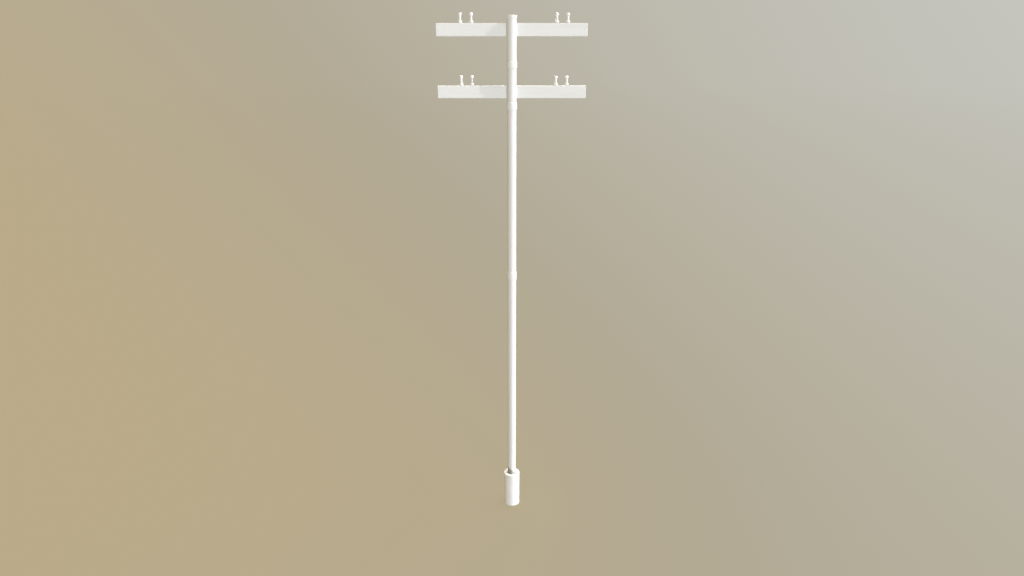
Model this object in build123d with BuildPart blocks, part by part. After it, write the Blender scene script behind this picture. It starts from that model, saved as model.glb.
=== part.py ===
"""A timber utility pole with two crossarms, eight knob insulators, clamp bands and a ground sleeve.

Millimetres, +Z up. The origin is at ground level on the axis of the shaft. +X runs along the
crossarms and +Y points to the side of the shaft that the crossarms are bolted to.
"""

import os

from build123d import *

# Shaft: one round timber
shaft_diameter = 152.0
shaft_height = 8872.0
shaft_top_chamfer = 4.0

# Crossarms: square-edged timbers let half-way into notches, called gains, at the back of the shaft
arm_length = 2387.0
arm_height = 192.0
arm_thickness = 95.0
arm_edge_chamfer = 4.0
upper_arm_drop = 206.0
arm_spacing = 943.0
gain_depth = 76.0
gain_clearance = 1.0

# Two lag screws hold each arm, driven from behind through the arm into the shaft
lag_spacing = 104.0
lag_clearance_hole = 18.0
lag_pilot_hole = 13.0
lag_pilot_depth = 54.0

# Cap over the sawn top of the shaft, slightly crowned
cap_wall = 9.0
cap_skirt = 33.0
cap_plate = 5.0
cap_crown = 4.0
cap_edge_fillet = 3.0

# Clamp bands: split rings with an upper rim that sheds water and a pair of bolted lugs at the back
band_wall = 10.0
band_taper_rise = 14.0
band_taper_depth = 7.0
band_lower_chamfer = 2.0
upper_band_drop = 522.0
upper_band_width = 110.0
lower_band_drop = 214.0
lower_band_width = 120.0
middle_band_height = 4638.0
middle_band_width = 140.0
lug_gap = 14.0
lug_thickness = 10.0
lug_reach = 42.0
lug_corner_fillet = 8.0
lug_bolt_hole = 13.0
lug_bolt_margin = 30.0

# Ground sleeve, and the grout that holds the shaft in it
grout_width = 9.0
grout_recess = 70.0
sleeve_wall = 61.0
sleeve_height = 664.0
sleeve_rim_fillet = 5.0

# Insulators: two pairs on each arm, the right pair standing nearer to its end than the left
pair_spacing = 176.0
left_end_margin = 378.5
right_end_margin = 310.0
knob_base_diameter = 70.0
knob_base_height = 36.0
knob_waist_diameter = 39.0
knob_waist_height = 56.0
knob_head_diameter = 60.0
knob_head_side = 20.0
knob_head_shoulder = 15.0

# Pins: a flange on the arm, a stem in the knob and a shank down through the arm
pin_diameter = 19.0
pin_clearance = 0.25
pin_flange_diameter = 62.0
pin_flange_thickness = 5.0
pin_stem_height = 96.0
pin_stem_chamfer = 2.0
pin_socket_end_gap = 4.0
pin_nut_recess_diameter = 48.0
pin_nut_recess_depth = 32.0
pin_tail_inset = 4.0

# How far a cutting shape runs past the face that it cuts
cut_overrun = 10.0

# Sizes that follow from those above
shaft_radius = shaft_diameter / 2
sleeve_bore_radius = shaft_radius + grout_width
sleeve_radius = sleeve_bore_radius + sleeve_wall
grout_top = sleeve_height - grout_recess
arm_front = shaft_radius - gain_depth
arm_back = arm_front + arm_thickness
arm_middle = (arm_front + arm_back) / 2
upper_arm_centre = shaft_height - upper_arm_drop
lower_arm_centre = upper_arm_centre - arm_spacing
arm_centres = {"upper": upper_arm_centre, "lower": lower_arm_centre}
arm_end = arm_length / 2
left_outer_pin = left_end_margin - arm_end
right_outer_pin = arm_end - right_end_margin
pin_places = {
    "left_outer": left_outer_pin,
    "left_inner": left_outer_pin + pair_spacing,
    "right_inner": right_outer_pin - pair_spacing,
    "right_outer": right_outer_pin,
}
pin_hole_radius = pin_diameter / 2 + pin_clearance

UP = (0, 0, 1)
DOWN = (0, 0, -1)
FRONT = (0, -1, 0)
BACK = (0, 1, 0)
RIGHT = (1, 0, 0)

# Directions on the half profile of a turned piece
INWARD = (-1, 0)
UPWARD = (0, 1)


def write(piece, name):
    """Label a finished piece and write it as one node."""
    piece.label = name
    export_step(piece, f"parts/{name}.step")


def upright(x, y, z):
    """A plane through a point for the half profile of a turned piece: radius across, height up."""
    return Plane(origin=(x, y, z), x_dir=RIGHT, z_dir=FRONT)


def lag_planes(face, arm_centre):
    """Planes at the two lag screws of an arm, on a face that looks to the back."""
    heights = (arm_centre - lag_spacing / 2, arm_centre + lag_spacing / 2)
    return [Plane(origin=(0, face, z), z_dir=BACK) for z in heights]


def clamp_band(name, centre, width):
    """A split ring round the shaft with two bolted lugs at the back."""
    outer_radius = shaft_radius + band_wall
    lug_end = outer_radius + lug_reach
    lug_pair_width = lug_gap + 2 * lug_thickness
    bolt_line = outer_radius + lug_reach / 2
    bolt_rise = width / 2 - lug_bolt_margin
    lug_face = lug_pair_width / 2
    with BuildPart() as band:
        with BuildSketch(Plane.XY.offset(centre - width / 2)):
            Circle(outer_radius)
            Rectangle(lug_pair_width, lug_end, align=(Align.CENTER, Align.MIN))
            Circle(shaft_radius, mode=Mode.SUBTRACT)
            Rectangle(
                lug_gap,
                lug_end + cut_overrun,
                align=(Align.CENTER, Align.MIN),
                mode=Mode.SUBTRACT,
            )
        extrude(amount=width)
        rims = band.edges().filter_by(GeomType.CIRCLE).group_by(SortBy.RADIUS)[-1]
        outer_wall = band.faces().filter_by(GeomType.CYLINDER).sort_by(SortBy.AREA)[-1]
        upper_rim = rims.group_by(Axis.Z)[-1]
        chamfer(upper_rim, length=band_taper_rise, length2=band_taper_depth, reference=outer_wall)
        rims = band.edges().filter_by(GeomType.CIRCLE).group_by(SortBy.RADIUS)[-1]
        chamfer(rims.group_by(Axis.Z)[0], length=band_lower_chamfer)
        lug_ends = band.faces().sort_by(Axis.Y)[-2:]
        fillet(lug_ends.edges().filter_by(Axis.X), radius=lug_corner_fillet)
        bolt_heights = (centre - bolt_rise, centre + bolt_rise)
        bolt_planes = [Plane(origin=(lug_face, bolt_line, z), z_dir=RIGHT) for z in bolt_heights]
        with Locations(*bolt_planes):
            Hole(lug_bolt_hole / 2, depth=lug_pair_width)
    write(band.part, name)


os.makedirs("parts", exist_ok=True)

# Shaft
with BuildPart() as pole_shaft:
    with BuildSketch():
        Circle(shaft_radius)
    extrude(amount=shaft_height)
    chamfer(pole_shaft.edges().sort_by(Axis.Z)[-1], length=shaft_top_chamfer)
    with BuildSketch(Plane.YZ):
        for arm_centre in arm_centres.values():
            with Locations((arm_front, arm_centre)):
                Rectangle(
                    gain_depth + cut_overrun,
                    arm_height + 2 * gain_clearance,
                    align=(Align.MIN, Align.CENTER),
                )
    extrude(amount=shaft_diameter, both=True, mode=Mode.SUBTRACT)
    for arm_centre in arm_centres.values():
        with Locations(*lag_planes(arm_front, arm_centre)):
            Hole(lag_pilot_hole / 2, depth=lag_pilot_depth)
write(pole_shaft.part, "pole_shaft")

# Cap
cap_radius = shaft_radius + cap_wall
with BuildPart() as pole_cap:
    with BuildSketch(upright(0, 0, shaft_height)):
        with BuildLine():
            Polyline(
                (0, 0),
                (shaft_radius, 0),
                (shaft_radius, -cap_skirt),
                (cap_radius, -cap_skirt),
                (cap_radius, cap_plate),
                (0, cap_plate + cap_crown),
                close=True,
            )
        make_face()
    revolve(axis=Axis.Z)
    cap_rim = pole_cap.edges().filter_by(GeomType.CIRCLE).group_by(Axis.Z)[-1]
    fillet(cap_rim, radius=cap_edge_fillet)
write(pole_cap.part, "pole_cap")

# Crossarms
for level, arm_centre in arm_centres.items():
    arm_underside = arm_centre - arm_height / 2
    nut_planes = [
        Plane(origin=(x, arm_middle, arm_underside), z_dir=DOWN) for x in pin_places.values()
    ]
    with BuildPart() as crossarm:
        with BuildSketch(Plane.YZ):
            with Locations((arm_middle, arm_centre)):
                Rectangle(arm_thickness, arm_height)
        extrude(amount=arm_end, both=True)
        chamfer(crossarm.edges(), length=arm_edge_chamfer)
        with Locations(*nut_planes):
            CounterBoreHole(
                pin_hole_radius,
                pin_nut_recess_diameter / 2,
                pin_nut_recess_depth,
                depth=arm_height,
            )
        with Locations(*lag_planes(arm_back, arm_centre)):
            Hole(lag_clearance_hole / 2, depth=arm_thickness)
    write(crossarm.part, f"{level}_crossarm")

# Clamp bands
clamp_band("upper_band", upper_arm_centre - upper_band_drop, upper_band_width)
clamp_band("lower_band", lower_arm_centre - lower_band_drop, lower_band_width)
clamp_band("middle_band", middle_band_height, middle_band_width)

# Ground sleeve and grout
with BuildPart() as base_sleeve:
    with BuildSketch():
        Circle(sleeve_radius)
        Circle(sleeve_bore_radius, mode=Mode.SUBTRACT)
    extrude(amount=sleeve_height)
    sleeve_rim = base_sleeve.edges().group_by(Axis.Z)[-1]
    fillet(sleeve_rim, radius=sleeve_rim_fillet)
write(base_sleeve.part, "base_sleeve")

with BuildPart() as sleeve_grout:
    with BuildSketch():
        Circle(sleeve_bore_radius)
        Circle(shaft_radius, mode=Mode.SUBTRACT)
    extrude(amount=grout_top)
write(sleeve_grout.part, "sleeve_grout")

# Insulators and their pins
base_radius = knob_base_diameter / 2
waist_radius = knob_waist_diameter / 2
head_radius = knob_head_diameter / 2
base_flare = base_radius - waist_radius
head_flare = head_radius - waist_radius
waist_start = knob_base_height + base_flare
waist_end = waist_start + knob_waist_height
head_start = waist_end + head_flare
head_top = head_start + knob_head_side
knob_height = head_top + knob_head_shoulder
crown_radius = head_radius - knob_head_shoulder
socket_top = pin_stem_height + pin_socket_end_gap
pin_tail = pin_tail_inset - arm_height
for level, arm_centre in arm_centres.items():
    arm_top = arm_centre + arm_height / 2
    for place, x in pin_places.items():
        half_plane = upright(x, arm_middle, arm_top)
        turning_axis = Axis((x, arm_middle, arm_top), UP)

        with BuildPart() as insulator:
            with BuildSketch(half_plane):
                with BuildLine():
                    Polyline(
                        (crown_radius, knob_height),
                        (0, knob_height),
                        (0, socket_top),
                        (pin_hole_radius, socket_top),
                        (pin_hole_radius, pin_flange_thickness),
                        (base_radius, pin_flange_thickness),
                        (base_radius, knob_base_height),
                    )
                    TangentArc(
                        (base_radius, knob_base_height),
                        (waist_radius, waist_start),
                        tangent=INWARD,
                    )
                    Line((waist_radius, waist_start), (waist_radius, waist_end))
                    TangentArc(
                        (waist_radius, waist_end),
                        (head_radius, head_start),
                        tangent=UPWARD,
                    )
                    Line((head_radius, head_start), (head_radius, head_top))
                    TangentArc(
                        (head_radius, head_top),
                        (crown_radius, knob_height),
                        tangent=UPWARD,
                    )
                make_face()
            revolve(axis=turning_axis)
        write(insulator.part, f"{level}_insulator_{place}")

        with BuildPart() as pin:
            with BuildSketch(half_plane):
                with BuildLine():
                    Polyline(
                        (0, pin_tail),
                        (pin_diameter / 2, pin_tail),
                        (pin_diameter / 2, 0),
                        (pin_flange_diameter / 2, 0),
                        (pin_flange_diameter / 2, pin_flange_thickness),
                        (pin_diameter / 2, pin_flange_thickness),
                        (pin_diameter / 2, pin_stem_height - pin_stem_chamfer),
                        (pin_diameter / 2 - pin_stem_chamfer, pin_stem_height),
                        (0, pin_stem_height),
                        close=True,
                    )
                make_face()
            revolve(axis=turning_axis)
        write(pin.part, f"{level}_pin_{place}")
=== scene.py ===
"""Looks of the white-painted timber utility pole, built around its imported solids."""

import math

import bmesh
import bpy
from mathutils import Matrix, Vector, noise


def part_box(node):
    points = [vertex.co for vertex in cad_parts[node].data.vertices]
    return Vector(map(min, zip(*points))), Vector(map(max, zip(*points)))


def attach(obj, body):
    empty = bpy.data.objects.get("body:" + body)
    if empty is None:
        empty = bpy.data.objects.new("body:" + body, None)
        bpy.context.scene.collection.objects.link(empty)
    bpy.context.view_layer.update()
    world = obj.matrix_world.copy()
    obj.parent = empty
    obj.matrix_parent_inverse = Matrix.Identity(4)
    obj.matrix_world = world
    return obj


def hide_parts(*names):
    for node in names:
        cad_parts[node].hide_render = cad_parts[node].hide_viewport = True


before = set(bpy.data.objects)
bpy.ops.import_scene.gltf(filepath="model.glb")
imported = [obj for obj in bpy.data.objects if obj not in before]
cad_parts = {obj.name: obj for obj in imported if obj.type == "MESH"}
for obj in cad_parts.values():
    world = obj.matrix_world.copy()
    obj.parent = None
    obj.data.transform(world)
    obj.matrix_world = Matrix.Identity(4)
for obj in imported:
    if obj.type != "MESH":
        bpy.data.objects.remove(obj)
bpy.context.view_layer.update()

# Lengths are in metres and angles in degrees.

# The pieces that repeat
LEVELS = ("upper", "lower")
PLACES = ("left_outer", "left_inner", "right_inner", "right_outer")
BANDS = ("upper_band", "lower_band", "middle_band")

# Camera, fitted to the photograph, with its lens in millimetres
CAMERA_PLACE = (0.0042, -11.63, 8.22)
CAMERA_PITCH = 18.2
CAMERA_LENS = 24.43
CAMERA_FAR = 2000.0

# Suns for the pole and for the floor: where they come from, strength, spread and colour
POLE_LIGHTS = {
    "key": ((5.94, -1.0, 4.75), 3.05, 0.5, (1.0, 0.99, 0.95)),
    "low": ((0.52, -1.0, -0.946), 1.83, 8.0, (0.90, 0.98, 1.15)),
    "top": ((0.0, 0.0, 1.0), 1.6, 40.0, (1.0, 0.95, 0.78)),
    "back": ((0.0, 1.0, 0.35), 1.5, 20.0, (1.0, 1.0, 1.0)),
}
FLOOR_LIGHT = ((0.0, 0.0, 1.0), 1.5, 50.0, (0.90, 0.92, 1.00))

# Floor and sky: sand at the left passing into pale haze at the right and far away
BACKGROUND_STOPS = (
    (0.0, (0.497, 0.407, 0.254)),
    (0.3, (0.450, 0.405, 0.305)),
    (1.0, (0.570, 0.577, 0.540)),
)
FLOOR_RADIUS = 300.0
FLOOR_SEGMENTS = 128
FLOOR_FADE_START = 15.0
FLOOR_HALFWAY = 20.0
FLOOR_GLOW = 0.7
FLOOR_ROUGHNESS = 0.9

# Place along those colours: at the pole's foot, far away, and its change across and upwards
SHARE_NEAR = 0.12
SHARE_FAR = 0.49
SHARE_ACROSS = 0.70
SHARE_UP = 0.5

# Meshes
ARC_STEPS = 4
SHARP_ANGLE = 32.0
NOISE_DIMENSION = 1.0
NOISE_LACUNARITY = 2.0
NOISE_OCTAVES = 3
FOOT_LIMIT = 0.003

# Shaft. Its unevenness, like that of other pieces, is a depth and the sizes along X, Y and Z.
SHAFT_SEGMENTS = 128
SHAFT_ROW = 0.034
SHAFT_SWELL = (0.0007, (0.07, 0.07, 1.1))
SHAFT_GRAIN = (0.0003, (0.014, 0.014, 0.45))
GAIN_CLEARANCE = 0.001
ROW_PAIR = 1e-5

# Crossarms. The pith, the heart of the tree, is so far below an arm's underside.
ARM_ARRIS = 0.004
ARM_ARRIS_STEPS = 3
ARM_SPACING = 0.009
ARM_SWELL = (0.0006, (0.9, 0.07, 0.07))
ARM_GRAIN = (0.00025, (0.35, 0.012, 0.012))
ARM_END_SHARES = (0.8, 0.6, 0.4, 0.2)
ARM_WELD = 1e-6
PITH_DROP = {"upper": 0.03, "lower": -0.07}
NUT_RECESS_RADIUS = 0.024
NUT_RECESS_DEPTH = 0.032
NUT_RECESS_SEGMENTS = 48

# Cap
CAP_CROWN = 0.004
CAP_EDGE = 0.003
CAP_LIP = 0.0015
CAP_DOME_SHARES = (0.9, 0.75, 0.6, 0.45, 0.3, 0.15, 0)
CAP_SEGMENTS = 96

# Clamp bands
BAND_WALL = 0.010
BAND_TAPER_RISE = 0.014
BAND_TAPER_DEPTH = 0.007
BAND_TAPER_STEPS = 4
BAND_EDGE = 0.0008
BAND_EDGE_STEPS = 3
BAND_STEPS = 42
LUG_GAP = 0.014
LUG_EASE = 0.002
LUG_CORNER = 0.008
LUG_CORNER_STEPS = 6
LUG_BEND = 0.013
LUG_BEND_STEPS = 8
LUG_BOLT_MARGIN = 0.030
LUG_REACH = 0.042

# Ground sleeve and grout
SLEEVE_RIM = 0.005
SLEEVE_RIM_STEPS = 6
SLEEVE_SPACING = 0.012
SLEEVE_SEGMENTS = 128
SLEEVE_SWELL = (0.0008, (0.11, 0.11, 0.11))
SLEEVE_GRAIN = (0.0003, (0.025, 0.025, 0.025))
GROUT_LIFT = 0.004
GROUT_SPACING = 0.0015
GROUT_SEGMENTS = 160
GROUT_LUMPS = (0.0022, (0.012, 0.012, 0.012))

# Insulators and pins
KNOB_BASE_HEIGHT = 0.036
KNOB_WAIST_RADIUS = 0.0195
KNOB_HEAD_RADIUS = 0.030
KNOB_HEAD_START = 0.118
KNOB_HEAD_SIDE = 0.020
KNOB_EDGE = 0.002
KNOB_ARC_STEPS = 8
KNOB_SPACING = 0.006
KNOB_SEGMENTS = 64
PIN_RADIUS = 0.0095
PIN_EDGE_SHARE = 0.25
PIN_THREAD_LENGTH = 0.034
PIN_THREAD_PITCH = 0.0025
PIN_THREAD_DEPTH = 0.0013
PIN_THREAD_ROWS = 6
PIN_SEGMENTS = 40

# Fasteners: across flats, height; washers: radius, thickness
LAG_SPACING = 0.104
LAG_HEAD = (0.024, 0.011)
LAG_WASHER = (0.022, 0.004)
PIN_NUT = (0.028, 0.015)
PIN_WASHER = (0.020, 0.003)
LUG_BOLT_RADIUS = 0.006
LUG_HEAD = (0.019, 0.008)
LUG_NUT = (0.019, 0.010)
LUG_WASHER = (0.012, 0.0025)
LUG_BOLT_END = 0.005
FASTENER_EDGE = 0.0008
WASHER_SEGMENTS = 40
HEXAGON_CHAMFER_SHARE = 0.18
HEXAGON_EDGE_STEPS = 3
ROD_EDGE_SHARE = 0.2
ROD_SEGMENTS = 24

# Paint: colours along a tone from 0 to 1, and the span in which most noise lies
WHITE_TONES = (
    (0.30, (0.770, 0.768, 0.752)),
    (0.50, (0.800, 0.799, 0.786)),
    (0.70, (0.825, 0.825, 0.815)),
)
SHAFT_TONES = (
    (0.30, (0.747, 0.745, 0.730)),
    (0.50, (0.776, 0.775, 0.763)),
    (0.70, (0.800, 0.800, 0.791)),
)
MASONRY_TONES = (
    (0.30, (0.796, 0.793, 0.784)),
    (0.50, (0.828, 0.826, 0.820)),
    (0.70, (0.855, 0.854, 0.850)),
)
# Mortar tones: the mortar's own grey, darkened as painted shade for the hollow of the sleeve
MORTAR_SHADED_TONES = (
    (0.3, (0.105, 0.100, 0.090)),
    (0.7, (0.240, 0.228, 0.205)),
)
# The dark colour of the porcelain's specks, and of the painted shade in checks, air holes, the
# bore and the shaft's foot
SPECK_AND_SHADE = (0.235, 0.222, 0.195, 1)
BLACK = (0, 0, 0, 1)
NOISE_SPAN = (0.3, 0.7)
PIT_FLOOR_SHARE = 0.4

# Painted timber: sizes of its marks along and across the grain, and their detail
X_AXIS = 0
Z_AXIS = 2
TIMBER_GRAIN = (0.40, 0.004, 6.0)
TIMBER_CLOUDS = (1.5, 0.18, 4.0)
TIMBER_CHECKS = (0.55, 0.009, 1.0)
TIMBER_GRAIN_SHARE = 0.35
TIMBER_ROUGHNESS = (0.48, 0.62)
TIMBER_SPECULAR = 0.25
TIMBER_RELIEF = 0.0007
CHECK_LIMITS = (0.70, 0.76)
CHECK_PAINTED_SHADE = 0.10
CHECK_DEPTH_SHARE = 0.8

# Growth rings on sawn ends. Blender's ring waves have a period of their own at a scale of 1.
WAVE_PERIOD = math.tau / 20
RING_SPACING = 0.0055
RING_SHARE = 0.6
RING_WAVER = {"Distortion": 1.2, "Detail": 3.0, "Detail Scale": 30.0}
SAWN_LIMITS = (0.7, 0.9)

# Painted shade on the shaft's foot: from the sleeve's rim upwards, and from left to right
FOOT_SHADE_HEIGHTS = (0.085, 0.135)
FOOT_SHADE_SIDES = (-0.05, 0.055)
PAINTED_SHADE_SHARE = 0.85
FOOT_SHADE_SLOPE = 0.6
FOOT_SHADE_FRAY = ((0.03, 0.03, 0.06), 4.0)
FOOT_SHADE_FRAY_HEIGHT = 0.03

# Painted steel: sizes of its marks along X, Y and Z, and their detail, as in the materials below
STEEL_RIPPLE = ((0.004, 0.004, 0.004), 2.0)
STEEL_CLOUDS = ((0.06, 0.06, 0.06), 4.0)
STEEL_RIPPLE_SHARE = 0.2
STEEL_ROUGHNESS = (0.36, 0.48)
STEEL_SPECULAR = 0.3
STEEL_RELIEF = 0.0002

# Glazed porcelain, with the spacing and size of its specks
GLAZE_FLOW = ((0.020, 0.020, 0.035), 2.0)
GLAZE_SPECKS = (0.009, 0.0006)
GLAZE_SPECK_SHADE = 0.35
GLAZE_ROUGHNESS = (0.26, 0.34)
GLAZE_SPECULAR = 0.3
GLAZE_COAT = 0.35
GLAZE_COAT_ROUGHNESS = 0.12
GLAZE_RELIEF = 0.0004

# Painted concrete, with the spacing and size of its air holes, and painted shade in the holes and
# in the bore
CONCRETE_SAND = ((0.003, 0.003, 0.003), 3.0)
CONCRETE_CLOUDS = ((0.12, 0.12, 0.20), 4.0)
CONCRETE_SAND_SHARE = 0.3
CONCRETE_HOLES = (0.028, 0.0022)
CONCRETE_HOLE_PAINTED_SHADE = 0.25
CONCRETE_HOLE_DEPTH_SHARE = 1.5
CONCRETE_BORE_SHADE_EDGE = (0.0005, 0.0015)
CONCRETE_ROUGHNESS = (0.62, 0.78)
CONCRETE_SPECULAR = 0.2
CONCRETE_RELIEF = 0.0008

# Mortar, whose dark grey is partly its own colour and partly painted shade for the hollow of the
# sleeve
MORTAR_SAND = ((0.0025, 0.0025, 0.0025), 4.0)
MORTAR_DAMP = ((0.05, 0.05, 0.05), 4.0)
MORTAR_SAND_SHARE = 0.5
MORTAR_ROUGHNESS = (0.75, 0.92)
MORTAR_RELIEF = 0.0015


# Node trees

def add(tree, kind, **settings):
    """A new node with its named properties set."""
    node = tree.nodes.new(kind)
    for name, value in settings.items():
        setattr(node, name, value)
    return node


def feed(tree, socket, value):
    """Link a socket to another node's output, or set it to a constant."""
    if isinstance(value, bpy.types.NodeSocket):
        tree.links.new(value, socket)
    else:
        socket.default_value = value


def feed_all(tree, node, values):
    """Feed the sockets of a node by their names."""
    for name, value in values.items():
        feed(tree, node.inputs[name], value)


def maths(tree, operation, *values):
    """The result of one sum."""
    node = add(tree, "ShaderNodeMath", operation=operation)
    for socket, value in zip(node.inputs, values):
        feed(tree, socket, value)
    return node.outputs[0]


def shared(tree, share, first, second):
    """A share of one value and the rest of another."""
    rest = maths(tree, "MULTIPLY", second, 1 - share)
    return maths(tree, "MULTIPLY_ADD", first, share, rest)


def ranged(tree, value, start, end, low, high):
    """A smooth passage from low to high while a value goes from start to end."""
    node = add(tree, "ShaderNodeMapRange", interpolation_type="SMOOTHSTEP")
    names = ("Value", "From Min", "From Max", "To Min", "To Max")
    feed_all(tree, node, dict(zip(names, (value, start, end, low, high))))
    return node.outputs["Result"]


def ramp(tree, factor, stops):
    """Colours in turn along a factor from 0 to 1."""
    node = add(tree, "ShaderNodeValToRGB")
    elements = node.color_ramp.elements
    while len(elements) < len(stops):
        elements.new(0.5)
    for element, (position, colour) in zip(elements, stops):
        element.position = position
        element.color = (*colour, 1)
    feed(tree, node.inputs["Fac"], factor)
    return node.outputs["Color"]


def blend(tree, factor, first, second):
    """A colour that goes from the first to the second with a factor."""
    node = add(tree, "ShaderNodeMix", data_type="RGBA")
    named = {socket.identifier: socket for socket in node.inputs}
    feed(tree, named["Factor_Float"], factor)
    feed(tree, named["A_Color"], first)
    feed(tree, named["B_Color"], second)
    return next(socket for socket in node.outputs if socket.identifier == "Result_Color")


def object_place(tree):
    """The shaded point in its object's own frame."""
    return add(tree, "ShaderNodeTexCoord").outputs["Object"]


def place_of(tree):
    """X, Y and Z of the shaded point, and its distance from the Z axis."""
    place = add(tree, "ShaderNodeNewGeometry").outputs["Position"]
    axes = add(tree, "ShaderNodeSeparateXYZ")
    feed(tree, axes.inputs[0], place)
    flat = add(tree, "ShaderNodeVectorMath", operation="MULTIPLY")
    feed(tree, flat.inputs[0], place)
    feed(tree, flat.inputs[1], (1, 1, 0))
    reach = add(tree, "ShaderNodeVectorMath", operation="LENGTH")
    feed(tree, reach.inputs[0], flat.outputs[0])
    return (*axes.outputs, reach.outputs["Value"])


def speckle(tree, sizes, detail):
    """Noise whose grain has its own size along X, Y and Z."""
    stretch = add(tree, "ShaderNodeMapping")
    scale = [1 / size for size in sizes]
    feed_all(tree, stretch, {"Vector": object_place(tree), "Scale": scale})
    texture = add(tree, "ShaderNodeTexNoise")
    feed_all(tree, texture, {"Vector": stretch.outputs[0], "Scale": 1.0, "Detail": detail})
    return texture.outputs["Fac"]


def timber_speckle(tree, along, length, width, detail):
    """Noise drawn out along the grain of a timber."""
    return speckle(tree, [length if axis == along else width for axis in range(3)], detail)


def pits(tree, spacing, size):
    """1 in small round pits that lie about a spacing apart, 0 elsewhere."""
    texture = add(tree, "ShaderNodeTexVoronoi")
    feed_all(tree, texture, {"Vector": object_place(tree), "Scale": 1 / spacing})
    rim = size / spacing
    return ranged(tree, texture.outputs["Distance"], PIT_FLOOR_SHARE * rim, rim, 1.0, 0.0)


def growth_rings(tree, along, pith):
    """Waves round the pith of a timber, 0 to 1 across each ring."""
    shift = add(tree, "ShaderNodeMapping")
    feed_all(tree, shift, {"Vector": object_place(tree), "Location": -pith})
    texture = add(tree, "ShaderNodeTexWave", wave_type="RINGS", rings_direction="XYZ"[along])
    feed_all(tree, texture, {"Vector": shift.outputs[0], "Scale": WAVE_PERIOD / RING_SPACING})
    feed_all(tree, texture, RING_WAVER)
    return texture.outputs["Fac"]


def sawn_end(tree, along):
    """1 on the faces that cross the grain, 0 on the sides."""
    axes = add(tree, "ShaderNodeSeparateXYZ")
    feed(tree, axes.inputs[0], add(tree, "ShaderNodeNewGeometry").outputs["Normal"])
    return ranged(tree, maths(tree, "ABSOLUTE", axes.outputs[along]), *SAWN_LIMITS, 0.0, 1.0)


def bumped(tree, shader, height, depth):
    """Tilt the shading by a height that is worth a depth."""
    node = add(tree, "ShaderNodeBump")
    feed_all(tree, node, {"Distance": depth, "Height": height})
    feed(tree, shader.inputs["Normal"], node.outputs["Normal"])


def new_material(name):
    """A material with its node tree and its shader."""
    material = bpy.data.materials.new(name)
    material.use_nodes = True
    return material, material.node_tree, material.node_tree.nodes["Principled BSDF"]


# Materials

def painted_timber(name, along, tones, pith=None):
    """White paint over timber: long grain under the paint, faint hairline checks, cloudy tone.

    Where the place of the pith is given, growth rings show on the sawn ends."""
    material, tree, shader = new_material(name)
    grain = timber_speckle(tree, along, *TIMBER_GRAIN)
    if pith is not None:
        change = maths(tree, "SUBTRACT", growth_rings(tree, along, pith), grain)
        change = maths(tree, "MULTIPLY", change, RING_SHARE)
        grain = maths(tree, "MULTIPLY_ADD", sawn_end(tree, along), change, grain)
    clouds = timber_speckle(tree, along, *TIMBER_CLOUDS)
    checks = timber_speckle(tree, along, *TIMBER_CHECKS)
    check = ranged(tree, checks, *CHECK_LIMITS, 0.0, 1.0)
    # Painted shade: the hairline checks are darkened
    shade = maths(tree, "MULTIPLY", check, CHECK_PAINTED_SHADE)
    paint = ramp(tree, shared(tree, TIMBER_GRAIN_SHARE, grain, clouds), tones)
    feed_all(tree, shader, {
        "Base Color": blend(tree, shade, paint, SPECK_AND_SHADE),
        "Roughness": ranged(tree, grain, *NOISE_SPAN, *TIMBER_ROUGHNESS),
        "Specular IOR Level": TIMBER_SPECULAR,
    })
    relief = maths(tree, "MULTIPLY_ADD", check, -CHECK_DEPTH_SHARE, grain)
    bumped(tree, shader, relief, TIMBER_RELIEF)
    return material


def painted_shaft():
    """The shaft's paint, with painted shade on the foot where it stands in the hollow of the
    sleeve, strongest at the left.
    """
    material = painted_timber("painted_shaft", Z_AXIS, SHAFT_TONES)
    tree = material.node_tree
    colour = tree.nodes["Principled BSDF"].inputs["Base Color"]
    paint = colour.links[0].from_socket
    across, _, height, _ = place_of(tree)
    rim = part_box("base_sleeve")[1].z
    start, end = (rim + rise for rise in FOOT_SHADE_HEIGHTS)
    edge = maths(tree, "MULTIPLY_ADD", across, FOOT_SHADE_SLOPE, height)
    edge = maths(tree, "MULTIPLY_ADD", speckle(tree, *FOOT_SHADE_FRAY), FOOT_SHADE_FRAY_HEIGHT, edge)
    # Painted shade: the foot darkens just above the sleeve's rim, most at the left and fading to
    # the right
    climb = ranged(tree, edge, start, end, 1.0, 0.0)
    side = ranged(tree, across, *FOOT_SHADE_SIDES, PAINTED_SHADE_SHARE, 0.0)
    feed(tree, colour, blend(tree, maths(tree, "MULTIPLY", climb, side), paint, SPECK_AND_SHADE))
    return material


def painted_steel():
    """White paint on steel: smooth, with the slight ripple of brushed enamel."""
    material, tree, shader = new_material("painted_steel")
    ripple = speckle(tree, *STEEL_RIPPLE)
    clouds = speckle(tree, *STEEL_CLOUDS)
    tone = shared(tree, STEEL_RIPPLE_SHARE, ripple, clouds)
    feed_all(tree, shader, {
        "Base Color": ramp(tree, tone, WHITE_TONES),
        "Roughness": ranged(tree, clouds, *NOISE_SPAN, *STEEL_ROUGHNESS),
        "Specular IOR Level": STEEL_SPECULAR,
    })
    bumped(tree, shader, ripple, STEEL_RELIEF)
    return material


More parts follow.
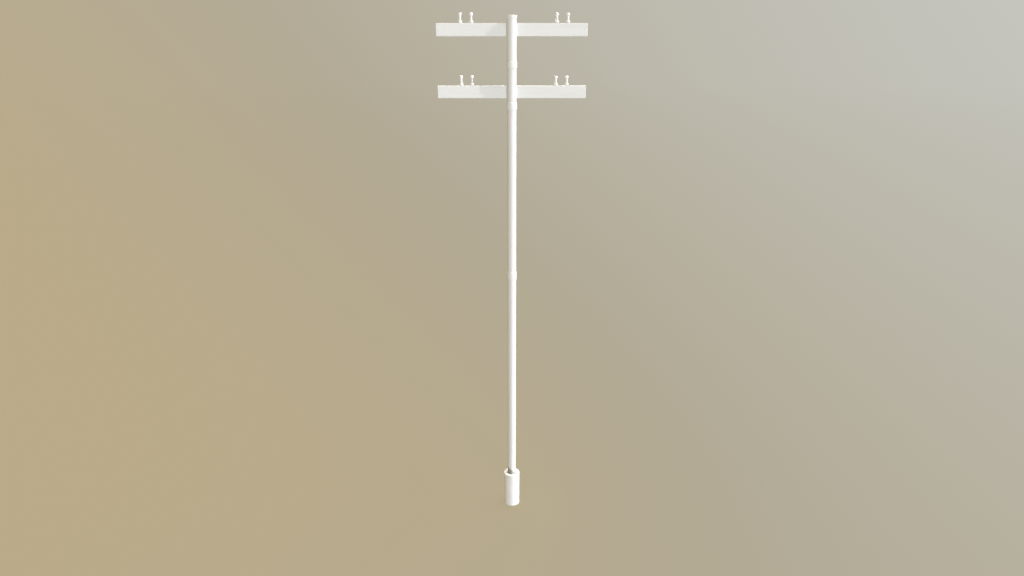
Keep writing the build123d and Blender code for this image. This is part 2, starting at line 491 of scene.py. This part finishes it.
def glazed_porcelain():
    """White glaze over porcelain, a little uneven, with sparse dark specks in the body."""
    material, tree, shader = new_material("glazed_porcelain")
    flow = speckle(tree, *GLAZE_FLOW)
    shade = maths(tree, "MULTIPLY", pits(tree, *GLAZE_SPECKS), GLAZE_SPECK_SHADE)
    feed_all(tree, shader, {
        "Base Color": blend(tree, shade, ramp(tree, flow, WHITE_TONES), SPECK_AND_SHADE),
        "Roughness": ranged(tree, flow, *NOISE_SPAN, *GLAZE_ROUGHNESS),
        "Specular IOR Level": GLAZE_SPECULAR,
        "Coat Weight": GLAZE_COAT,
        "Coat Roughness": GLAZE_COAT_ROUGHNESS,
    })
    bumped(tree, shader, flow, GLAZE_RELIEF)
    return material


def painted_concrete():
    """White masonry paint over cast concrete with small air holes, with painted shade in the holes
    and on the wall of the bore.
    """
    material, tree, shader = new_material("painted_concrete")
    sand = speckle(tree, *CONCRETE_SAND)
    clouds = speckle(tree, *CONCRETE_CLOUDS)
    hole = pits(tree, *CONCRETE_HOLES)
    # Painted shade: the air holes are darkened
    shade = maths(tree, "MULTIPLY", hole, CONCRETE_HOLE_PAINTED_SHADE)
    paint = ramp(tree, shared(tree, CONCRETE_SAND_SHARE, sand, clouds), MASONRY_TONES)
    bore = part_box("sleeve_grout")[1].x
    start, end = (bore + depth for depth in CONCRETE_BORE_SHADE_EDGE)
    _, _, _, reach = place_of(tree)
    # Painted shade: the wall of the bore is darkened
    bore_shade = ranged(tree, reach, start, end, PAINTED_SHADE_SHARE, 0.0)
    feed_all(tree, shader, {
        "Base Color": blend(tree, bore_shade, blend(tree, shade, paint, SPECK_AND_SHADE), SPECK_AND_SHADE),
        "Roughness": ranged(tree, clouds, *NOISE_SPAN, *CONCRETE_ROUGHNESS),
        "Specular IOR Level": CONCRETE_SPECULAR,
    })
    relief = maths(tree, "MULTIPLY_ADD", hole, -CONCRETE_HOLE_DEPTH_SHARE, sand)
    bumped(tree, shader, relief, CONCRETE_RELIEF)
    return material


def shaded_grout():
    """Mortar with sand grains, its own grey darkened with painted shade for the hollow of the
    sleeve.
    """
    material, tree, shader = new_material("shaded_grout")
    sand = speckle(tree, *MORTAR_SAND)
    damp = speckle(tree, *MORTAR_DAMP)
    tone = shared(tree, MORTAR_SAND_SHARE, sand, damp)
    feed_all(tree, shader, {
        "Base Color": ramp(tree, tone, MORTAR_SHADED_TONES),
        "Roughness": ranged(tree, damp, *NOISE_SPAN, *MORTAR_ROUGHNESS),
    })
    bumped(tree, shader, sand, MORTAR_RELIEF)
    return material


def pale_floor():
    """The floor's paint: the sky's colours, fading out far away so that no horizon shows.

    Part of its brightness is its own, which keeps the pole's shadow and glow on it faint."""
    material, tree, shader = new_material("pale_floor")
    x, _, _, reach = place_of(tree)
    across = maths(tree, "MULTIPLY", x, SHARE_ACROSS)
    drift = maths(tree, "MULTIPLY_ADD", reach, SHARE_FAR - SHARE_NEAR, across)
    share = maths(tree, "DIVIDE", drift, maths(tree, "ADD", reach, FLOOR_HALFWAY))
    share = maths(tree, "ADD", share, SHARE_NEAR)
    colour = ramp(tree, share, BACKGROUND_STOPS)
    feed_all(tree, shader, {
        "Base Color": blend(tree, FLOOR_GLOW, colour, BLACK),
        "Emission Color": colour,
        "Emission Strength": FLOOR_GLOW,
        "Alpha": ranged(tree, reach, FLOOR_FADE_START, FLOOR_RADIUS, 1.0, 0.0),
        "Roughness": FLOOR_ROUGHNESS,
        "Specular IOR Level": 0.0,
    })
    return material


# Outlines

def rounded(corners, steps=ARC_STEPS, closed=False):
    """Points of an outline whose corners, each (across, up, radius), are turned into arcs."""
    points = []
    for index, (across, up, radius) in enumerate(corners):
        here = Vector((across, up))
        if radius == 0 or not closed and index in (0, len(corners) - 1):
            points.append(here)
            continue
        before = (Vector(corners[index - 1][:2]) - here).normalized()
        after = (Vector(corners[(index + 1) % len(corners)][:2]) - here).normalized()
        half = before.angle(after) / 2
        centre = here + (before + after).normalized() * radius / math.sin(half)
        start = here + before * radius / math.tan(half) - centre
        end = here + after * radius / math.tan(half) - centre
        first = math.atan2(start.y, start.x)
        turn = (math.atan2(end.y, end.x) - first + math.pi) % math.tau - math.pi
        for step in range(steps + 1):
            angle = first + turn * step / steps
            points.append(centre + radius * Vector((math.cos(angle), math.sin(angle))))
    return points


def divided(points, longest):
    """The same outline with its long runs divided, so that relief has vertices to move."""
    result = [points[0]]
    for start, end in zip(points, points[1:]):
        parts = max(1, math.ceil((end - start).length / longest))
        result += [start.lerp(end, part / parts) for part in range(1, parts + 1)]
    return result


# Meshes

def bridge(mesh, one, other):
    """Faces between two rings of vertices, either of which may be a single point."""
    count = max(len(one), len(other))
    for i in range(count):
        j = (i + 1) % count
        first = (one[i % len(one)], one[j % len(one)])
        second = (other[j % len(other)], other[i % len(other)])
        mesh.faces.new(list(dict.fromkeys((*first, *second))))


def turned(outline, segments, centre=(0.0, 0.0), closed=False, shape=None):
    """A mesh turned about an upright axis from (radius, height) points, with 0 for the axis.

    A shape, where given, changes the radius by the angle in turns and the height."""
    mesh = bmesh.new()
    rings = []
    for radius, height in outline:
        ring = []
        for segment in range(segments if radius > 0 else 1):
            turn = segment / segments
            reach = shape(turn, radius, height) if shape else radius
            x = centre[0] + reach * math.cos(turn * math.tau)
            y = centre[1] + reach * math.sin(turn * math.tau)
            ring.append(mesh.verts.new((x, y, height)))
        rings.append(ring)
    if closed:
        rings.append(rings[0])
    for one, other in zip(rings, rings[1:]):
        bridge(mesh, one, other)
    return mesh


def roughen(mesh, depth, sizes):
    """Move each vertex along its normal by fractal noise with its own size along X, Y and Z."""
    mesh.normal_update()
    for vertex in mesh.verts:
        place = Vector([value / size for value, size in zip(vertex.co, sizes)])
        height = noise.fractal(place, NOISE_DIMENSION, NOISE_LACUNARITY, NOISE_OCTAVES)
        vertex.co += vertex.normal * depth * height


def level_foot(mesh):
    """Put the lowest vertices of a roughened mesh back on the ground."""
    for vertex in mesh.verts:
        if vertex.co.z < FOOT_LIMIT:
            vertex.co.z = 0.0


def join(mesh, other, matrix=None):
    """Add another mesh to a mesh, moved by a matrix."""
    if matrix:
        bmesh.ops.transform(other, matrix=matrix, verts=other.verts)
    carrier = bpy.data.meshes.new("carrier")
    other.to_mesh(carrier)
    other.free()
    mesh.from_mesh(carrier)
    bpy.data.meshes.remove(carrier)


def as_object(name, mesh):
    """An object in the scene that takes a mesh over, with its faces turned outwards."""
    data = bpy.data.meshes.new(name)
    bmesh.ops.recalc_face_normals(mesh, faces=mesh.faces)
    mesh.to_mesh(data)
    mesh.free()
    made = bpy.data.objects.new(name, data)
    bpy.context.scene.collection.objects.link(made)
    return made


def cut_out(mesh, cutter):
    """A mesh with another closed mesh cut out of it."""
    body = as_object("body", mesh)
    tool = as_object("tool", cutter)
    modifier = body.modifiers.new("cut", "BOOLEAN")
    modifier.operation = "DIFFERENCE"
    modifier.solver = "EXACT"
    modifier.object = tool
    bpy.context.view_layer.update()
    evaluated = body.evaluated_get(bpy.context.evaluated_depsgraph_get())
    result = bmesh.new()
    result.from_mesh(evaluated.to_mesh())
    evaluated.to_mesh_clear()
    for used in (body, tool):
        data = used.data
        bpy.data.objects.remove(used)
        bpy.data.meshes.remove(data)
    return result


def piece(name, mesh, material, slot, *nodes):
    """Make a finished piece of the pole, in place of the named solids."""
    made = as_object(name, mesh)
    made.data.shade_smooth()
    made.data.set_sharp_from_angle(angle=math.radians(SHARP_ANGLE))
    made.data.materials.append(material)
    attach(made, "root")
    if nodes:
        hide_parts(*nodes)
    return made


# Shaft

def shaft_heights(low, high, edges):
    """Heights of the rows of vertices, with a close pair of rows at each edge of a gain."""
    count = round((high - low) / SHAFT_ROW)
    heights = [low + (high - low) * row / count for row in range(count + 1)]
    heights = [z for z in heights if all(abs(z - edge) > SHAFT_ROW / 4 for edge in edges)]
    return sorted(heights + [edge + side for edge in edges for side in (-ROW_PAIR, ROW_PAIR)])


def shaft_mesh():
    """Round timber with a slightly uneven surface and a flat gain for each arm."""
    low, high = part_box("pole_shaft")
    arms = [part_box(f"{level}_crossarm") for level in LEVELS]
    gains = [(arm[0].z - GAIN_CLEARANCE, arm[1].z + GAIN_CLEARANCE) for arm in arms]
    heights = shaft_heights(low.z, high.z, [edge for gain in gains for edge in gain])
    outline = [(0, low.z), *((high.x, z) for z in heights), (0, high.z)]
    mesh = turned(outline, SHAFT_SEGMENTS)
    roughen(mesh, *SHAFT_SWELL)
    roughen(mesh, *SHAFT_GRAIN)
    level_foot(mesh)
    arm_front = arms[0][0].y
    for vertex in mesh.verts:
        if any(start < vertex.co.z < end for start, end in gains):
            vertex.co.y = min(vertex.co.y, arm_front)
    bmesh.ops.remove_doubles(mesh, verts=mesh.verts, dist=3 * ROW_PAIR)
    return mesh


# Crossarms

def section_rays(half_across, half_up):
    """Core points and outward directions round an arm's section with its rounded arrises."""
    rays = []
    core = Vector((half_across - ARM_ARRIS, half_up - ARM_ARRIS))
    signs = ((1, -1), (1, 1), (-1, 1), (-1, -1))
    centres = [Vector((core.x * across, core.y * up)) for across, up in signs]
    for index, centre in enumerate(centres):
        after = centres[(index + 1) % len(centres)]
        for step in range(ARM_ARRIS_STEPS + 1):
            angle = math.radians(90 * (index - 1 + step / ARM_ARRIS_STEPS))
            outward = Vector((math.cos(angle), math.sin(angle)))
            rays.append((centre, outward))
        parts = math.ceil((after - centre).length / ARM_SPACING)
        rays += [(centre.lerp(after, part / parts), outward) for part in range(1, parts)]
    return rays


def arm_stations(low, high):
    """Places along the arm and how far the section draws in there to round the ends."""
    turns = [math.radians(90 * step / ARM_ARRIS_STEPS) for step in range(ARM_ARRIS_STEPS, 0, -1)]
    ends = [(ARM_ARRIS * (1 - math.cos(a)), ARM_ARRIS * (1 - math.sin(a))) for a in turns]
    run = high - low - 2 * ARM_ARRIS
    parts = math.ceil(run / ARM_SPACING)
    stations = [(low + along, inset) for inset, along in ends]
    stations += [(low + ARM_ARRIS + run * part / parts, 0.0) for part in range(parts + 1)]
    stations += [(high - along, inset) for inset, along in reversed(ends)]
    return stations


def arm_mesh(low, high):
    """A squared timber with eased arrises, gently uneven sides and flat sawn ends."""
    mesh = bmesh.new()
    middle = Vector(((low.y + high.y) / 2, (low.z + high.z) / 2))
    rays = section_rays((high.y - low.y) / 2, (high.z - low.z) / 2)

    def ring(x, points):
        """Vertices round one section of the arm."""
        return [mesh.verts.new((x, p.x, p.y)) for p in points]

    sides = []
    for x, inset in arm_stations(low.x, high.x):
        sides.append(ring(x, [middle + core + out * (ARM_ARRIS - inset) for core, out in rays]))
    ends = []
    for x in (low.x, high.x):
        end = [ring(x, [middle + core * share for core, _ in rays]) for share in ARM_END_SHARES]
        ends.append([*end, ring(x, [middle])])
    rings = [*reversed(ends[0]), *sides, *ends[1]]
    for one, other in zip(rings, rings[1:]):
        bridge(mesh, one, other)
    bmesh.ops.remove_doubles(mesh, verts=mesh.verts, dist=ARM_WELD)
    sawn = {vertex: vertex.co.x for vertex in mesh.verts if vertex.co.x in (low.x, high.x)}
    roughen(mesh, *ARM_SWELL)
    roughen(mesh, *ARM_GRAIN)
    for vertex, x in sawn.items():
        vertex.co.x = x
    return mesh


def nut_recesses(pins, underside):
    """Cutting cylinders for the recesses that take the nuts of the pins."""
    cutters = bmesh.new()
    low = underside - NUT_RECESS_DEPTH
    high = underside + NUT_RECESS_DEPTH
    outline = [(0, low), (NUT_RECESS_RADIUS, low), (NUT_RECESS_RADIUS, high), (0, high)]
    for centre in pins:
        join(cutters, turned(outline, NUT_RECESS_SEGMENTS, centre))
    return cutters


# Fasteners

def washer(radius, thickness):
    """A washer without its hole, which a bolt fills."""
    outline = [(0, 0, 0), (radius, 0, 0), (radius, thickness, FASTENER_EDGE), (0, thickness, 0)]
    return turned(rounded(outline), WASHER_SEGMENTS)


def hexagon(flats, height):
    """A hexagonal nut or bolt head with its top edges chamfered."""
    radius = flats / math.sqrt(3)
    chamfer = height * HEXAGON_CHAMFER_SHARE
    outline = [
        (0, 0, 0),
        (radius, 0, 0),
        (radius, height - chamfer / 2, FASTENER_EDGE),
        (radius - chamfer, height, FASTENER_EDGE),
        (0, height, 0),
    ]
    return turned(rounded(outline, HEXAGON_EDGE_STEPS), 6)


def rod(radius, low, high):
    """A bolt's shank with chamfered ends."""
    edge = radius * ROD_EDGE_SHARE
    outline = [(0, low), (radius - edge, low), (radius, low + edge)]
    outline += [(radius, high - edge), (radius - edge, high), (0, high)]
    return turned(outline, ROD_SEGMENTS)


def on_washer(head, under):
    """A bolt head or nut on top of its washer."""
    mesh = washer(*under)
    join(mesh, hexagon(*head), Matrix.Translation((0, 0, under[1])))
    return mesh


def facing(place, direction):
    """The matrix that stands a mesh made along Z on a face at a place."""
    turn = Vector(direction).to_track_quat("Z", "Y").to_matrix().to_4x4()
    return Matrix.Translation(place) @ turn


def arm_fasteners(low, high, pins):
    """Two lag screws at the back of an arm and a nut under each pin."""
    mesh = bmesh.new()
    middle = (low.z + high.z) / 2
    for rise in (-LAG_SPACING / 2, LAG_SPACING / 2):
        place = (0, high.y, middle + rise)
        join(mesh, on_washer(LAG_HEAD, LAG_WASHER), facing(place, (0, 1, 0)))
    for x, y in pins:
        place = (x, y, low.z + NUT_RECESS_DEPTH)
        join(mesh, on_washer(PIN_NUT, PIN_WASHER), facing(place, (0, 0, -1)))
    return mesh


def lug_bolts(low, high):
    """Two bolts through the lugs of a clamp band, with head, nut and washers."""
    mesh = bmesh.new()
    face = LUG_GAP / 2 + BAND_WALL
    tip = face + LUG_WASHER[1] + LUG_NUT[1] + LUG_BOLT_END
    y = high.y - LUG_REACH / 2
    for z in (low.z + LUG_BOLT_MARGIN, high.z - LUG_BOLT_MARGIN):
        join(mesh, on_washer(LUG_HEAD, LUG_WASHER), facing((face, y, z), (1, 0, 0)))
        join(mesh, on_washer(LUG_NUT, LUG_WASHER), facing((-face, y, z), (-1, 0, 0)))
        join(mesh, rod(LUG_BOLT_RADIUS, -face, tip), facing((0, y, z), (-1, 0, 0)))
    return mesh


# Insulators and pins

def plan_centre(low, high):
    """X and Y of the middle of a box."""
    return ((low + high) / 2).xy


def knob_mesh(low, high, arm_top):
    """A turned porcelain knob: a broad base, a slim waist and a round-shouldered head."""
    base = (high.x - low.x) / 2
    waist, head = KNOB_WAIST_RADIUS, KNOB_HEAD_RADIUS
    foot = low.z - arm_top
    top = high.z - arm_top
    corners = [
        (0, foot, 0),
        (base, foot, KNOB_EDGE),
        (base, KNOB_BASE_HEIGHT, KNOB_EDGE),
        (waist, KNOB_BASE_HEIGHT, base - waist - 2 * KNOB_EDGE),
        (waist, KNOB_HEAD_START, head - waist - KNOB_EDGE),
        (head, KNOB_HEAD_START, KNOB_EDGE / 2),
        (head, top, top - KNOB_HEAD_START - KNOB_HEAD_SIDE),
        (0, top, 0),
    ]
    outline = divided(rounded(corners, KNOB_ARC_STEPS), KNOB_SPACING)
    lifted = [(p.x, arm_top + p.y) for p in outline]
    return turned(lifted, KNOB_SEGMENTS, plan_centre(low, high))


def pin_mesh(low, high, arm_top, flange_top):
    """A steel pin: threaded tail, shank, round flange on the arm and a stem in the knob."""
    flange = (high.x - low.x) / 2
    thread_top = low.z + PIN_THREAD_LENGTH
    edge = (flange_top - arm_top) * PIN_EDGE_SHARE

    def thread(turn, radius, height):
        """The radius with the thread cut into the tail."""
        if radius != PIN_RADIUS or height > thread_top:
            return radius
        share = (height / PIN_THREAD_PITCH - turn) % 1.0
        return radius - PIN_THREAD_DEPTH * abs(2 * share - 1)

    rows = round(PIN_THREAD_LENGTH / PIN_THREAD_PITCH * PIN_THREAD_ROWS)
    outline = [(0, low.z), (PIN_RADIUS - 2 * PIN_THREAD_DEPTH, low.z)]
    outline += [(PIN_RADIUS, low.z + PIN_THREAD_LENGTH * row / rows) for row in range(1, rows + 1)]
    rim = [(PIN_RADIUS, arm_top, 0), (flange, arm_top, edge), (flange, flange_top, edge)]
    outline += rounded([*rim, (PIN_RADIUS, flange_top, 0)])
    outline += [(PIN_RADIUS, high.z), (0, high.z)]
    return turned(outline, PIN_SEGMENTS, plan_centre(low, high), shape=thread)


# Cap

def cap_mesh():
    """A close-fitting cap with a rounded rim and a slightly domed top."""
    low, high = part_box("pole_cap")
    shaft_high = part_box("pole_shaft")[1]
    rim = high.z - CAP_CROWN
    dome = [(high.x * s, rim + CAP_CROWN * (1 - s * s)) for s in CAP_DOME_SHARES]
    corners = [
        (0, shaft_high.z, 0),
        (shaft_high.x, shaft_high.z, 0),
        (shaft_high.x, low.z, CAP_LIP),
        (high.x, low.z, CAP_LIP),
        (high.x, rim, CAP_EDGE),
        (*dome[0], 0),
    ]
    return turned([*rounded(corners), *dome[1:]], CAP_SEGMENTS)


# Clamp bands

def half_band_path(inner, lug_end, half_height):
    """Stations of half a band from the end of its lug to the front of the shaft.

    Each is a point of the inner face, the outward normal, a half height and a share of taper."""
    stations = []
    for step in range(LUG_CORNER_STEPS + 1):
        angle = math.radians(90 * step / LUG_CORNER_STEPS)
        drop = LUG_CORNER * (1 - math.cos(angle))
        height = half_height - LUG_CORNER * (1 - math.sin(angle))
        stations.append((Vector((LUG_GAP / 2, lug_end - drop)), Vector((1, 0)), height, 0.0))
    centre = Vector((LUG_GAP / 2 + LUG_BEND, 0))
    centre.y = math.sqrt((inner + LUG_BEND) ** 2 - centre.x ** 2)
    contact = math.atan2(centre.y, centre.x)
    for step in range(LUG_BEND_STEPS + 1):
        angle = math.pi + contact * step / LUG_BEND_STEPS
        inward = Vector((math.cos(angle), math.sin(angle)))
        stations.append((centre + inward * LUG_BEND, -inward, half_height, 0.0))
    for step in range(1, BAND_STEPS + 1):
        angle = contact - (contact + math.pi / 2) * step / BAND_STEPS
        outward = Vector((math.cos(angle), math.sin(angle)))
        taper = min(1.0, step / BAND_TAPER_STEPS)
        stations.append((outward * inner, outward, half_height, taper))
    return stations


def band_section(half_height, taper):
    """Points round the strap's section: distance from the inner face, and height."""
    depth = LUG_EASE + (BAND_TAPER_DEPTH - LUG_EASE) * taper
    rise = LUG_EASE + (BAND_TAPER_RISE - LUG_EASE) * taper
    corners = [
        (0, -half_height, BAND_EDGE),
        (BAND_WALL - LUG_EASE, -half_height, BAND_EDGE),
        (BAND_WALL, LUG_EASE - half_height, BAND_EDGE),
        (BAND_WALL, half_height - rise, BAND_EDGE),
        (BAND_WALL - depth, half_height, BAND_EDGE),
        (0, half_height, BAND_EDGE),
    ]
    return rounded(corners, BAND_EDGE_STEPS, closed=True)


def band_mesh(low, high):
    """A strap bent round the shaft, its two ends turned out as lugs at the back."""
    mesh = bmesh.new()
    inner = high.x - BAND_WALL
    middle = (low.z + high.z) / 2
    right = half_band_path(inner, high.y, (high.z - low.z) / 2)
    mirrored = [(Vector((-p.x, p.y)), Vector((-n.x, n.y)), h, t) for p, n, h, t in right]
    rings = []
    for place, outward, half_height, taper in [*right, *reversed(mirrored[:-1])]:
        ring = []
        for reach, height in band_section(half_height, taper):
            spot = place + outward * reach
            ring.append(mesh.verts.new((spot.x, spot.y, middle + height)))
        rings.append(ring)
    for one, other in zip(rings, rings[1:]):
        bridge(mesh, one, other)
    mesh.faces.new(rings[0])
    mesh.faces.new(rings[-1])
    return mesh


# Ground sleeve and grout

def sleeve_mesh():
    """A thick cast sleeve with a rounded rim and faintly uneven walls."""
    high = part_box("base_sleeve")[1]
    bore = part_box("sleeve_grout")[1].x
    corners = [
        (bore, 0, 0),
        (high.x, 0, 0),
        (high.x, high.z, SLEEVE_RIM),
        (bore, high.z, SLEEVE_RIM),
        (bore, 0, 0),
    ]
    outline = divided(rounded(corners, SLEEVE_RIM_STEPS), SLEEVE_SPACING)[:-1]
    mesh = turned(outline, SLEEVE_SEGMENTS, closed=True)
    roughen(mesh, *SLEEVE_SWELL)
    roughen(mesh, *SLEEVE_GRAIN)
    level_foot(mesh)
    return mesh


def grout_mesh():
    """Mortar round the foot of the shaft, higher along both walls and rough on top."""
    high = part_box("sleeve_grout")[1]
    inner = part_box("pole_shaft")[1].x
    middle = (inner + high.x) / 2
    top = [(high.x, high.z), (middle, high.z - GROUT_LIFT), (inner, high.z)]
    top = divided([Vector(p) for p in top], GROUT_SPACING)
    mesh = turned([(inner, 0), (high.x, 0), *top], GROUT_SEGMENTS, closed=True)
    roughen(mesh, *GROUT_LUMPS)
    level_foot(mesh)
    return mesh


# Stage

def sky():
    """A world in the background's colours, paler to the right and upwards."""
    world = bpy.data.worlds.new("studio")
    bpy.context.scene.world = world
    world.use_nodes = True
    tree = world.node_tree
    axes = add(tree, "ShaderNodeSeparateXYZ")
    feed(tree, axes.inputs[0], add(tree, "ShaderNodeTexCoord").outputs["Generated"])
    share = maths(tree, "MULTIPLY_ADD", axes.outputs["X"], SHARE_ACROSS, SHARE_FAR)
    share = maths(tree, "MULTIPLY_ADD", axes.outputs["Z"], SHARE_UP, share)
    feed(tree, tree.nodes["Background"].inputs["Color"], ramp(tree, share, BACKGROUND_STOPS))


def floor_disc():
    """The ground round the pole's foot."""
    mesh = bmesh.new()
    bmesh.ops.create_circle(mesh, cap_ends=True, segments=FLOOR_SEGMENTS, radius=FLOOR_RADIUS)
    made = as_object("floor", mesh)
    made.data.materials.append(pale_floor())
    return made


def sun(name, toward, strength, spread, colour):
    """A sun that shines from a direction."""
    data = bpy.data.lights.new(name, "SUN")
    data.energy = strength
    data.angle = math.radians(spread)
    data.color = colour
    lamp = bpy.data.objects.new(name, data)
    lamp.rotation_mode = "QUATERNION"
    lamp.rotation_quaternion = Vector(toward).to_track_quat("Z", "Y")
    bpy.context.scene.collection.objects.link(lamp)
    return lamp


def light_stage(floor):
    """Suns for the pole that leave the floor alone, and an even light for the floor only."""
    only_floor = bpy.data.collections.new("only_floor")
    only_floor.objects.link(floor)
    all_but_floor = bpy.data.collections.new("all_but_floor")
    all_but_floor.objects.link(floor)
    all_but_floor.collection_objects[0].light_linking.link_state = "EXCLUDE"
    for name, settings in POLE_LIGHTS.items():
        lamp = sun(name, *settings)
        lamp.light_linking.receiver_collection = all_but_floor
        lamp.light_linking.blocker_collection = all_but_floor
    even = sun("floor_light", *FLOOR_LIGHT)
    even.light_linking.receiver_collection = only_floor


def aim_camera():
    """The photograph's camera."""
    data = bpy.data.cameras.new("camera")
    data.lens = CAMERA_LENS
    data.clip_end = CAMERA_FAR
    camera = bpy.data.objects.new("camera", data)
    camera.location = CAMERA_PLACE
    camera.rotation_euler = (math.radians(90 - CAMERA_PITCH), 0, 0)
    bpy.context.scene.collection.objects.link(camera)
    bpy.context.scene.camera = camera
    bpy.context.scene.view_settings.view_transform = "Standard"


# The pole

steel = painted_steel()
porcelain = glazed_porcelain()

piece("shaft", shaft_mesh(), painted_shaft(), "painted_pole_timber", "pole_shaft")
piece("cap", cap_mesh(), steel, "painted_steel", "pole_cap")
for level in LEVELS:
    arm_low, arm_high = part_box(f"{level}_crossarm")
    pins = [plan_centre(*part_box(f"{level}_pin_{place}")) for place in PLACES]
    arm = cut_out(arm_mesh(arm_low, arm_high), nut_recesses(pins, arm_low.z))
    pith = Vector((0, arm_high.y, arm_low.z - PITH_DROP[level]))
    arm_paint = painted_timber(f"painted_{level}_arm", X_AXIS, WHITE_TONES, pith)
    piece(f"{level}_arm", arm, arm_paint, "painted_arm_timber", f"{level}_crossarm")
    fasteners = arm_fasteners(arm_low, arm_high, pins)
    piece(f"{level}_arm_fasteners", fasteners, steel, "painted_steel")
    for place in PLACES:
        knob_node = f"{level}_insulator_{place}"
        pin_node = f"{level}_pin_{place}"
        knob_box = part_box(knob_node)
        knob = knob_mesh(*knob_box, arm_high.z)
        piece(f"{level}_knob_{place}", knob, porcelain, "porcelain", knob_node)
        pin = pin_mesh(*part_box(pin_node), arm_high.z, knob_box[0].z)
        piece(f"{level}_knob_pin_{place}", pin, steel, "pin_steel", pin_node)
for node in BANDS:
    piece(f"{node}_strap", band_mesh(*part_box(node)), steel, "painted_steel", node)
    piece(f"{node}_bolts", lug_bolts(*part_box(node)), steel, "painted_steel")
piece("sleeve", sleeve_mesh(), painted_concrete(), "painted_concrete", "base_sleeve")
piece("grout", grout_mesh(), shaded_grout(), "grout", "sleeve_grout")

sky()
light_stage(floor_disc())
aim_camera()
